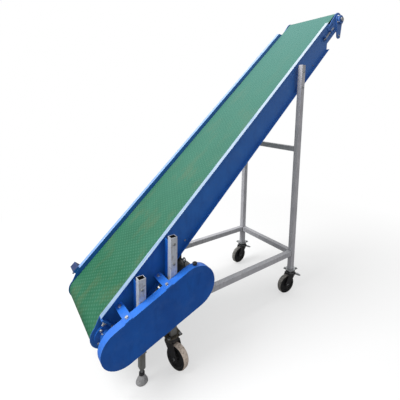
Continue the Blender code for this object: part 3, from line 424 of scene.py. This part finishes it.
# The far tracking lug's faces: outside the web, and thicker, higher or further back than the lip.
LUG_FLANK = WEB_OUTSIDE + 32 * MM
lip_start = Vector((REAR_X, 0, LIP_HEIGHT)) + UPHILL * LIP_TAIL
second_finish(
    "side_frame_far", DARK_NAVY_ENAMEL,
    lambda face: face.center.y - MID_Y > WEB_OUTSIDE + 3 * MM
    and (
        face.center.y - MID_Y > LUG_FLANK
        or (face.center - lip_start).dot(OFF_BED) > 2 * MM
        or (face.center - lip_start).dot(UPHILL) < -5 * MM
    ),
)
# The guard's rim faces that face up take the lighter enamel: painted highlight.
for name in ("guard_cover", "guard_strap_low", "guard_strap_high"):
    second_finish(
        name, LIT_RIM_ENAMEL, lambda face: abs(face.normal.y) < 0.5 and face.normal.dot(OFF_BED) > -0.2
    )
# The side frames take the paler enamel copy, a painted reflection.
for label in ("near", "far"):
    nodes[f"side_frame_{label}"].data.materials[0] = SHEEN_ENAMEL
    nodes[f"caster_plate_front_{label}"].data.materials[0] = DARK_BROWN_PLATE
    nodes[f"brake_pedal_rear_{label}"].data.materials[0] = ZINC
TREAD_FROM = 69 * MM  # radius where the black core ends and the cream tread starts
for label in CASTERS:
    axle = middle(f"caster_wheel_{label}")
    tread = TREAD if label.startswith("front") else WORN_TREAD
    second_finish(
        f"caster_wheel_{label}", tread, lambda face, axle=axle: (face.center - axle).length > TREAD_FROM
    )
FOOT_NUT = (45 * MM, 61.5 * MM)  # height of the black lock nut on a levelling foot
for label in SIDES:
    second_finish(f"levelling_foot_{label}", BLACK, lambda face: FOOT_NUT[0] < face.center.z < FOOT_NUT[1])
    second_finish(f"levelling_foot_{label}", ZINC, lambda face: face.center.z > FOOT_NUT[1])
    side_top = OFF_BED.dot(Vector((REAR_X, 0, LIP_HEIGHT)))
    # The side frames' top faces take the pale lip finish, a painted reflection.
    second_finish(
        f"side_frame_{label}", LIPS[label],
        lambda face: face.normal.dot(OFF_BED) > 0.99 and abs(face.center.dot(OFF_BED) - side_top) < 1 * MM,
    )

for kind in ("foot_leg", "caster_leg", "rear_leg"):
    for label in SIDES:
        leg_low, leg_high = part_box(f"{kind}_{label}")
        axis = (leg_low + leg_high) / 2
        inside = (leg_high.x - leg_low.x) / 2 - 1 * MM
        second_finish(
            f"{kind}_{label}", SCALE,
            lambda face, axis=axis, inside=inside: abs(face.normal.z) < 0.1
            and max(abs(face.center.x - axis.x), abs(face.center.y - axis.y)) < inside
            and face.normal.dot(axis - face.center) > 0,
        )

# ---- making pieces ------------------------------------------------------------------------------


def keep_piece(name, mesh, finishes, body):
    """Turns a bmesh into a piece that rides on a body."""
    bmesh.ops.recalc_face_normals(mesh, faces=mesh.faces)
    data = bpy.data.meshes.new(name)
    mesh.to_mesh(data)
    mesh.free()
    for finish in finishes:
        data.materials.append(finish)
    data.shade_smooth()
    data.set_sharp_from_angle(angle=math.radians(35))
    made = bpy.data.objects.new(name, data)
    bpy.context.scene.collection.objects.link(made)
    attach(made, body)
    return made


def pointing(at, direction):
    """Places +Z of a piece along a direction."""
    turn = Vector((0, 0, 1)).rotation_difference(Vector(direction))
    return Matrix.Translation(at) @ turn.to_matrix().to_4x4()


def turned(mesh, profile, segments, place, six_sided=()):
    """Adds a (radius, height) profile turned about +Z. six_sided marks the steps drawn as a hexagon."""
    rings = []
    for index, (radius, height) in enumerate(profile):
        if radius == 0:
            rings.append([mesh.verts.new(place @ Vector((0, 0, height)))] * segments)
            continue
        ring = []
        for step in range(segments):
            angle = 2 * math.pi * step / segments
            reach = radius
            if index in six_sided:
                from_flat = (angle + math.pi / 6) % (math.pi / 3) - math.pi / 6
                reach = radius * math.cos(math.pi / 6) / math.cos(from_flat)
            point = Vector((reach * math.cos(angle), reach * math.sin(angle), height))
            ring.append(mesh.verts.new(place @ point))
        rings.append(ring)
    for ring, above in zip(rings, rings[1:]):
        for step in range(segments):
            after = (step + 1) % segments
            corners = list(dict.fromkeys((ring[step], ring[after], above[after], above[step])))
            if len(corners) > 2:
                mesh.faces.new(corners)


def hex_bolt(name, body, at, direction, thread=10 * MM, finish=None, stud=0.0):
    """Washer and chamfered hexagon head. A stud above 0 makes it a nut on a threaded end."""
    across = thread * 0.98
    washer = thread * 0.2
    head = washer + thread * 0.64
    mesh = bmesh.new()
    place = pointing(at, direction)
    rim = [(thread, 0), (thread, washer * 0.8), (thread * 0.94, washer)]
    turned(mesh, [(0, 0), *rim, (0, washer)], 24, place)
    profile = [(0, washer), (across, washer), (across, head - thread * 0.128), (across * 0.86, head)]
    top = head
    if stud:
        top = head + stud + 1 * MM
        profile += [(thread / 2, head), (thread / 2, head + stud), (thread * 0.4, top)]
    turned(mesh, [*profile, (0, top)], 24, place, {1, 2})
    return keep_piece(name, mesh, [finish or ZINC], body)


def socket_screw(name, body, at, direction, thread=8 * MM):
    """Button head with a hexagon socket sunk in it."""
    mesh = bmesh.new()
    reach = thread * 0.9
    dome = [(reach, 0), (reach * 0.97, thread * 0.14), (reach * 0.78, thread * 0.40)]
    socket = [(reach * 0.34, thread * 0.5), (reach * 0.34, thread * 0.16), (0, thread * 0.16)]
    turned(mesh, [(0, 0), *dome, (reach * 0.52, thread * 0.5), *socket], 24, pointing(at, direction), {5, 6})
    return keep_piece(name, mesh, [ZINC], body)


def swept_round(mesh, path, radius_at, closed, sides=8):
    """Adds a round bar along points, with its radius given at each point."""
    count = len(path)
    rings = []
    for i, point in enumerate(path):
        before = path[i - 1] if closed or i else path[0]
        after = path[(i + 1) % count] if closed or i < count - 1 else path[-1]
        along = (after - before).normalized()
        side = along.orthogonal() if not rings else (last_side - along * last_side.dot(along)).normalized()
        side.normalize()
        last_side = side
        other = along.cross(side)
        ring = []
        for step in range(sides):
            angle = 2 * math.pi * step / sides
            offset = side * math.cos(angle) + other * math.sin(angle)
            ring.append(mesh.verts.new(point + offset * radius_at(i)))
        rings.append(ring)
    following = rings[1:] + rings[:1] if closed else rings[1:]
    for ring, above in zip(rings, following):
        for step in range(sides):
            after = (step + 1) % sides
            mesh.faces.new((ring[step], ring[after], above[after], above[step]))
    if not closed:
        mesh.faces.new(rings[0][::-1])
        mesh.faces.new(rings[-1])


WELD_LEG = 2.2 * MM
WELD_PITCH = 2.0 * MM


def weld_round_tube(name, centre, normal, half, body="frame"):
    """A rippled fillet weld round the end of a square tube, where it meets a flat face with this normal."""
    normal = Vector(normal)
    first = normal.orthogonal().normalized()
    if abs(normal.z) < 0.5:
        first = Vector((0, 0, 1))
    second = normal.cross(first)
    corners = [first * a * half + second * b * half for a, b in ((1, 1), (-1, 1), (-1, -1), (1, -1))]
    path = []
    for start, end in zip(corners, corners[1:] + corners[:1]):
        steps = round((end - start).length / WELD_PITCH)
        for step in range(steps):
            path.append(Vector(centre) + start.lerp(end, step / steps))
    mesh = bmesh.new()
    swept_round(mesh, path, lambda i: WELD_LEG * (0.85 + 0.25 * (i % 3) / 2), True, 6)
    return keep_piece(name, mesh, [WELD], body)


def lathe_piece(name, body, at, direction, profile, finish, segments=32, six_sided=()):
    """A turned piece from a (radius, height) profile in millimetres."""
    mesh = bmesh.new()
    profile = [(radius * MM, height * MM) for radius, height in profile]
    turned(mesh, profile, segments, pointing(at, direction), six_sided)
    return keep_piece(name, mesh, [finish], body)


def rounded_block(name, body, low, high, radius, finish):
    """A block with bevelled edges, from corner to corner."""
    mesh = bmesh.new()
    bmesh.ops.create_cube(mesh, size=1.0)
    low, high = Vector(low), Vector(high)
    for vertex in mesh.verts:
        vertex.co = Vector([low[k] + (vertex.co[k] + 0.5) * (high[k] - low[k]) for k in range(3)])
    bmesh.ops.bevel(mesh, geom=mesh.edges[:], offset=radius, segments=3, affect="EDGES", profile=0.5)
    return keep_piece(name, mesh, [finish], body)


# ---- belt: green cover, fabric underside and a cut edge ------------------------------------------

COVER_SHARE = 0.5  # of the belt's thickness
ARC_STEP = math.radians(4.0)
INSIDE, OUTSIDE = 0, 5  # edges of the belt's section that face the drums and the goods


def outside_radius(node):
    return max(size(node).x, size(node).z) / 2


def conveyor_belt():
    """The belt's loop round both drums and over its two return rollers, with rounded cut edges."""
    low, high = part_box("conveyor_belt")
    half_width = (high.y - low.y) / 2
    gap = 0.3 * MM
    thick = 3 * MM
    rounds = [
        (TAIL_AXIS, outside_radius("drive_drum") + gap + thick / 2),
        (ROLLER_AXES[0], -(outside_radius("return_roller_low") + gap + thick / 2)),
        (ROLLER_AXES[1], -(outside_radius("return_roller_high") + gap + thick / 2)),
        (HEAD_AXIS, outside_radius("head_drum") + gap + thick / 2),
    ]
    leans = []
    for (a, ra), (b, rb) in zip(rounds, rounds[1:] + rounds[:1]):
        along = math.atan2(b.z - a.z, b.x - a.x)
        leans.append(along - math.acos((ra - rb) / math.hypot(b.x - a.x, b.z - a.z)))
    path = []
    for i, (centre, radius) in enumerate(rounds):
        start, end = leans[i - 1], leans[i]
        sweep = (end - start) % (2 * math.pi)
        if radius < 0:
            sweep = (end - start + math.pi) % (2 * math.pi) - math.pi
        steps = math.ceil(abs(sweep) / ARC_STEP - 1e-3)
        for step in range(steps + 1):
            angle = start + sweep * step / max(steps, 1)
            normal = Vector((math.cos(angle), 0, math.sin(angle)))
            path.append((Vector((centre.x, 0, centre.z)) + normal * radius, normal))
    inner, outer = -thick / 2, thick / 2
    seam = inner + thick * (1 - COVER_SHARE)
    lip = 0.6 * MM
    section = [
        (inner, -half_width + lip),
        (inner, half_width - lip),
        (inner + lip, half_width),
        (seam, half_width),
        (outer - lip, half_width),
        (outer, half_width - lip),
        (outer, -half_width + lip),
        (outer - lip, -half_width),
        (seam, -half_width),
        (inner + lip, -half_width),
    ]
    mesh = bmesh.new()
    rings = []
    for point, normal in path:
        ring = []
        for out, across in section:
            ring.append(mesh.verts.new(point + normal * out + Vector((0, MID_Y + across, 0))))
        rings.append(ring)
    for ring, above in zip(rings, rings[1:] + rings[:1]):
        for j in range(len(section)):
            k = (j + 1) % len(section)
            face = mesh.faces.new((ring[j], above[j], above[k], ring[k]))
            face.material_index = {INSIDE: 1, OUTSIDE: 0}.get(j, 2)
    made = keep_piece("belt_loop", mesh, [COVER, FABRIC, CUT_EDGE], "frame")
    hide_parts("conveyor_belt")


conveyor_belt()

# ---- fixings ----------------------------------------------------------------------------------

LUG_FROM_HEAD = 0.269  # tail side of a take-up lug, back from the head drum's axis
CHEEK_OUTSIDE = 28.05 * MM  # of a caster's fork, from the wheel's middle
HUB_OUTSIDE = 23.05 * MM
RACE_DROP = 31 * MM  # underside of a caster's race below the top of its plate

for label in CASTERS:
    low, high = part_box(f"caster_plate_{label}")
    centre = (low + high) / 2
    for i, (a, b) in enumerate(((1, 1), (-1, 1), (-1, -1), (1, -1))):
        reach = (high - low) / 2 - Vector((10 * MM, 9 * MM, 0))
        at = (centre.x + a * reach.x, centre.y + b * reach.y, high.z)
        hex_bolt(f"plate_bolt_{label}_{i}", "frame", at, (0, 0, 1), 8 * MM)
    axle = middle(f"caster_wheel_{label}")
    joint = next(j for j in frame["joints"] if j["name"] == f"wheel_{label}_spin")
    spin = Vector(joint["axis"])
    for end, way in (("a", 1), ("b", -1)):
        at = axle + spin * way * CHEEK_OUTSIDE
        hex_bolt(f"axle_nut_{label}_{end}", f"swivel_{label}", at, spin * way, 8 * MM)
        at = axle + spin * way * HUB_OUTSIDE
        shield = [(7, 0), (14, 0), (13, 0.6), (8, 0.7), (7, 0.1), (7, 0)]
        lathe_piece(f"hub_shield_{label}_{end}", f"wheel_{label}", at, spin * way, shield, ZINC)
    race = Vector((centre.x, centre.y, high.z - RACE_DROP))
    rolled = [(36.4, 3), (37.5, 6), (37.9, 12), (37.5, 18), (36.4, 20), (36.4, 3)]
    lathe_piece(f"race_shroud_{label}", "frame", race, (0, 0, 1), rolled, BLACK, 36)

for label, side in SIDES.items():
    caster_leg = middle(f"caster_leg_{label}")
    foot_leg = middle(f"foot_leg_{label}")
    outer = caster_leg.y + side * size(f"caster_leg_{label}").y / 2
    caster_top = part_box(f"caster_leg_{label}")[1].z
    foot_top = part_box(f"foot_leg_{label}")[1].z
    for i, drop in enumerate((0.040, 0.155)):
        at = (caster_leg.x, outer, caster_top - drop)
        socket_screw(f"caster_leg_screw_{label}_{i}", "frame", at, (0, side, 0), 10 * MM)
    at = (foot_leg.x, outer, foot_top - 0.061)
    socket_screw(f"foot_leg_screw_{label}", "frame", at, (0, side, 0), 10 * MM)
    rear = middle(f"rear_leg_{label}")
    rear_out = rear.y + side * size(f"rear_leg_{label}").y / 2
    rear_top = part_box(f"rear_leg_{label}")[1].z
    for i, drop in enumerate((0.048, 0.165)):
        at = (rear.x, rear_out, rear_top - drop)
        hex_bolt(f"rear_leg_bolt_{label}_{i}", "frame", at, (0, side, 0), 8 * MM)

    web_out = MID_Y + side * WEB_OUTSIDE
    for i, degrees in enumerate((53, 125, 215, 278)):
        angle = math.radians(degrees)
        at = TAIL_AXIS + Vector((math.cos(angle), 0, math.sin(angle))) * 46 * MM
        at.y = web_out + side * 12.3 * MM
        hex_bolt(f"drive_bearing_bolt_{label}_{i}", "frame", at, (0, side, 0), 8 * MM)
    nipple = TAIL_AXIS + Vector((-24 * MM, 0, 25 * MM))
    nipple.y = web_out + side * 28 * MM
    grease = [(0, 0), (4, 0), (4, 3), (2, 4), (2.6, 7), (1.2, 9), (0, 9)]
    lathe_piece(f"grease_nipple_{label}", "frame", nipple, (-0.7, 0, 0.7), grease, ZINC, 16)

    bearing_face = web_out + side * 18.6 * MM
    for i, (dx, dz) in enumerate(((26, 26), (-26, 26), (27, -24), (-27, -24))):
        at = HEAD_AXIS + Vector((dx * MM, 0, dz * MM))
        at.y = bearing_face
        hex_bolt(f"head_bearing_bolt_{label}_{i}", "takeup", at, (0, side, 0), 8 * MM, stud=6 * MM)
    foot_of_lug = HEAD_AXIS + Vector((4 * MM, 0, -132 * MM))
    foot_of_lug.y = bearing_face
    hex_bolt(f"head_lug_bolt_{label}", "takeup", foot_of_lug, (0, side, 0), 8 * MM)
    screw = middle(f"takeup_screw_{label}")
    for i, (way, from_head) in enumerate(((-1, LUG_FROM_HEAD + 0.3 * MM), (1, LUG_FROM_HEAD - 8.3 * MM))):
        nut = [(6.5, 0), (10, 0), (10, 6.5), (8.6, 8), (6.5, 8), (6.5, 0)]
        base = HEAD_AXIS - UPHILL * from_head
        base.y = screw.y
        way = UPHILL * way
        lathe_piece(f"takeup_nut_{label}_{i}", "frame", base, way, nut, ZINC, 24, {1, 2})

# ---- welds and end caps -----------------------------------------------------------------------

HALF = size("rear_leg_near").x / 2
for name in ("rear_crossbar_lower", "rear_crossbar_upper", "front_crossbar"):
    low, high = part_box(name)
    centre = (low + high) / 2
    for label, side in SIDES.items():
        end = (centre.x, low.y if side < 0 else high.y, centre.z)
        weld_round_tube(f"weld_{name}_{label}", end, (0, side, 0), HALF)
for label, side in SIDES.items():
    low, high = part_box(f"rail_{label}")
    centre = (low + high) / 2
    weld_round_tube(f"weld_rail_{label}", (high.x, centre.y, centre.z), (1, 0, 0), HALF)
    first = (low.x - 2 * MM, low.y + 1 * MM, low.z + 1 * MM)
    last = (low.x + 0.4 * MM, high.y - 1 * MM, high.z - 1 * MM)
    rounded_block(f"rail_cap_{label}", "frame", first, last, 0.8 * MM, RUBBER)
    low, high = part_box(f"rear_leg_{label}")
    first = (low.x + 0.5 * MM, low.y + 0.5 * MM, high.z - 0.3 * MM)
    last = (high.x - 0.5 * MM, high.y - 0.5 * MM, high.z + 2.2 * MM)
    rounded_block(f"rear_leg_cap_{label}", "frame", first, last, 0.9 * MM, GREY)

# ---- drive: terminal box, guard knob, strap bolts -----------------------------------------------

motor_low, motor_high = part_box("motor_body")
motor = (motor_low + motor_high) / 2
box_low = (motor.x - 42 * MM, motor.y - 52 * MM, motor_high.z - 12 * MM)
box_high = (motor.x + 42 * MM, motor.y + 28 * MM, motor_high.z + 34 * MM)
rounded_block("terminal_box", "frame", box_low, box_high, 4 * MM, MOTOR)
rounded_block(
    "terminal_lid", "frame",
    (box_low[0] - 2 * MM, box_low[1] - 2 * MM, box_high[2] - 1 * MM),
    (box_high[0] + 2 * MM, box_high[1] + 2 * MM, box_high[2] + 5 * MM),
    2 * MM, MOTOR,
)
gland = [(0, 0), (11, 0), (11, 7), (9, 8), (9, 13), (7, 17), (4, 17.5), (4, 12), (0, 12)]
gland_at = (box_high[0] - 0.5 * MM, (box_low[1] + box_high[1]) / 2, box_high[2] - 24 * MM)
lathe_piece("cable_gland", "frame", gland_at, (1, 0, 0), gland, CORE, 24, {1, 2})
for i, (a, b) in enumerate(((0, 0), (1, 0), (1, 1), (0, 1))):
    at = (
        box_low[0] + 6 * MM + a * (box_high[0] - box_low[0] - 12 * MM),
        box_low[1] + 6 * MM + b * (box_high[1] - box_low[1] - 12 * MM),
        box_high[2] + 5 * MM,
    )
    socket_screw(f"terminal_screw_{i}", "frame", at, (0, 0, 1), 5 * MM)

guard_low, guard_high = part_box("guard_cover")
knob_at = (REAR_X - 0.964, guard_low.y + 20 * MM, guard_high.z)
knob = [(0, 0), (5, 0), (5, 5), (13, 8), (14, 17), (9, 21), (0, 22)]
lathe_piece("guard_knob", "frame", knob_at, (0, 0, 1), knob, CORE, 20)
for label in ("low", "high"):
    low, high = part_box(f"guard_strap_{label}")
    strap = nodes[f"guard_strap_{label}"]
    top_face = max(strap.data.polygons, key=lambda face: face.normal.z)
    normal = Vector((-abs(top_face.normal.x), 0, abs(top_face.normal.z)))
    centre = (low + high) / 2
    for i, y in enumerate((guard_high.y - 22 * MM, high.y - 22 * MM)):
        at = Vector((centre.x, y, centre.z)) + normal * 2.05 * MM
        hex_bolt(f"strap_bolt_{label}_{i}", "frame", at, normal, 9 * MM)

# ---- tracking screws at the tail ------------------------------------------------------------------

for label, side in SIDES.items():
    along, off, out = {"near": (-2.041, -0.034, 0.283), "far": (-2.049, -0.014, 0.305)}[label]
    base = Vector((REAR_X, 0, LIP_HEIGHT)) + UPHILL * along + OFF_BED * off
    base.y = MID_Y + side * out
    hex_bolt(f"tracking_screw_{label}", "frame", base, -UPHILL, 12 * MM, stud=10 * MM)

# ---- floor, light and camera ------------------------------------------------------------------------


def pale_floor():
    """White to the eye with the object's soft shadow on it, and darker where its light would bounce up."""
    mesh = bpy.data.meshes.new("pale_floor")
    corners = [(-30, -30, 0), (30, -30, 0), (30, 30, 0), (-30, 30, 0)]
    mesh.from_pydata(corners, [], [(0, 1, 2, 3)])
    made = bpy.data.objects.new("pale_floor", mesh)
    bpy.context.scene.collection.objects.link(made)
    finish = bpy.data.materials.new("pale_floor_screed")
    finish.use_nodes = True
    tree = finish.node_tree
    shader = tree.nodes["Principled BSDF"]
    shader.inputs["Base Color"].default_value = paint_chip("#8E8E8E")
    shader.inputs["Roughness"].default_value = 0.9
    screed = add_node(tree, "ShaderNodeBsdfDiffuse", {"Color": "#FFFFFF"})
    white = add_node(tree, "ShaderNodeEmission", {"Strength": 1.0})
    place = add_node(tree, "ShaderNodeTexCoord")
    out = add_node(tree, "ShaderNodeVectorMath", {0: place.outputs["Object"]}, operation="LENGTH")
    limits = {"From Min": 1.0, "From Max": 3.2, "To Min": 0.55, "To Max": 1.0}
    fade = add_node(tree, "ShaderNodeMapRange", {"Value": out.outputs["Value"], **limits})
    paling = {0: fade.outputs["Result"], 1: screed.outputs[0], 2: white.outputs[0]}
    seen = add_node(tree, "ShaderNodeMixShader", paling)
    ray = add_node(tree, "ShaderNodeLightPath")
    share = {0: ray.outputs["Is Camera Ray"], 1: shader.outputs[0], 2: seen.outputs[0]}
    mixed = add_node(tree, "ShaderNodeMixShader", share)
    tree.links.new(mixed.outputs[0], tree.nodes["Material Output"].inputs["Surface"])
    mesh.materials.append(finish)


PLAIN_LIGHT = 0.58  # of the sky on the object


def soft_sky():
    """White to the eye and in gloss, and a plain level of light on the object."""
    world = bpy.data.worlds.new("soft_sky")
    bpy.context.scene.world = world
    world.use_nodes = True
    tree = world.node_tree
    tree.nodes.clear()
    ray = add_node(tree, "ShaderNodeLightPath")
    direction = add_node(tree, "ShaderNodeTexCoord")
    parts = add_node(tree, "ShaderNodeSeparateXYZ", {"Vector": direction.outputs["Generated"]})
    limits = {"From Min": -0.7, "From Max": 0.6, "To Min": 0.30, "To Max": 1.0}
    dim_front = add_node(tree, "ShaderNodeMapRange", {"Value": parts.outputs["Y"], **limits})
    strength = PLAIN_LIGHT
    for kind, level in (
        ("Is Glossy Ray", dim_front.outputs["Result"]),
        ("Is Transmission Ray", 1.0),
        ("Is Camera Ray", 1.0),
    ):
        choice = {0: ray.outputs[kind], 2: strength, 3: level}
        chosen = add_node(tree, "ShaderNodeMix", choice, data_type="FLOAT")
        strength = chosen.outputs[0]
    back = add_node(tree, "ShaderNodeBackground", {"Color": "#FFFFFF", "Strength": strength})
    out = add_node(tree, "ShaderNodeOutputWorld")
    tree.links.new(back.outputs[0], out.inputs["Surface"])


def soft_box(name, at, target, side, power):
    data = bpy.data.lights.new(name, "AREA")
    data.shape = "SQUARE"
    data.size = side
    data.energy = power
    made = bpy.data.objects.new(name, data)
    bpy.context.scene.collection.objects.link(made)
    made.location = at
    made.rotation_euler = (Vector(target) - Vector(at)).to_track_quat("-Z", "Y").to_euler()


pale_floor()
soft_sky()
AIM = (0.0, 0.0, 1.1)
soft_box("key_from_above_left", (-4.4, 1.4, 6.3), AIM, 4.0, 450)

CAMERA_AT = Vector((REAR_X - 1.80529, MID_Y - 1.73476, 1.49388))
LOOKS_ALONG = Vector((0.64681221, 0.75244788, -0.12432279))
RIGHT = Vector((0.76060464, -0.64837818, 0.03295919))
UP = Vector((0.05580811, 0.11587890, 0.99169428))
camera = bpy.data.objects.new("camera", bpy.data.cameras.new("camera"))
bpy.context.scene.collection.objects.link(camera)
camera.data.lens = 26.2155
camera.data.sensor_width = 36.0
camera.data.shift_x = -0.1
camera.data.shift_y = -0.1375
turn = Matrix((RIGHT, UP, -LOOKS_ALONG)).transposed()
camera.matrix_world = Matrix.Translation(CAMERA_AT) @ turn.to_4x4()
bpy.context.scene.camera = camera
bpy.context.scene.view_settings.view_transform = "Standard"
